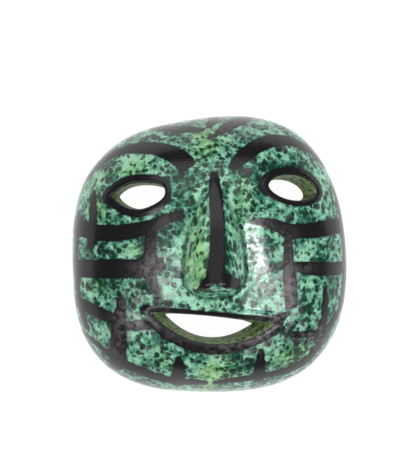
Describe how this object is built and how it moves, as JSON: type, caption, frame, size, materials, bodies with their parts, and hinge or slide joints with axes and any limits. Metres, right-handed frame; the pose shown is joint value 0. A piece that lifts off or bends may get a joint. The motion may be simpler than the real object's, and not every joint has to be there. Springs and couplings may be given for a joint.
{
  "type": "stoneware mask",
  "caption": "Domed stoneware face mask, hollow behind, with a wedge nose, leaf-shaped eye holes, a smiling mouth opening and a mottled green glaze under dark brushed bands.",
  "frame": {"origin": "under the middle of the mask's bounding box, on the surface that the back rim lies on", "axes": "+X towards the viewer's right, +Y towards the forehead, +Z out of the face"},
  "size_m": [0.1806, 0.1818, 0.0907],
  "materials": {
    "glaze": "glossy, slightly pitted glaze"
  },
  "bodies": {
    "root": {"mask": "glaze"}
  },
  "joints": []
}
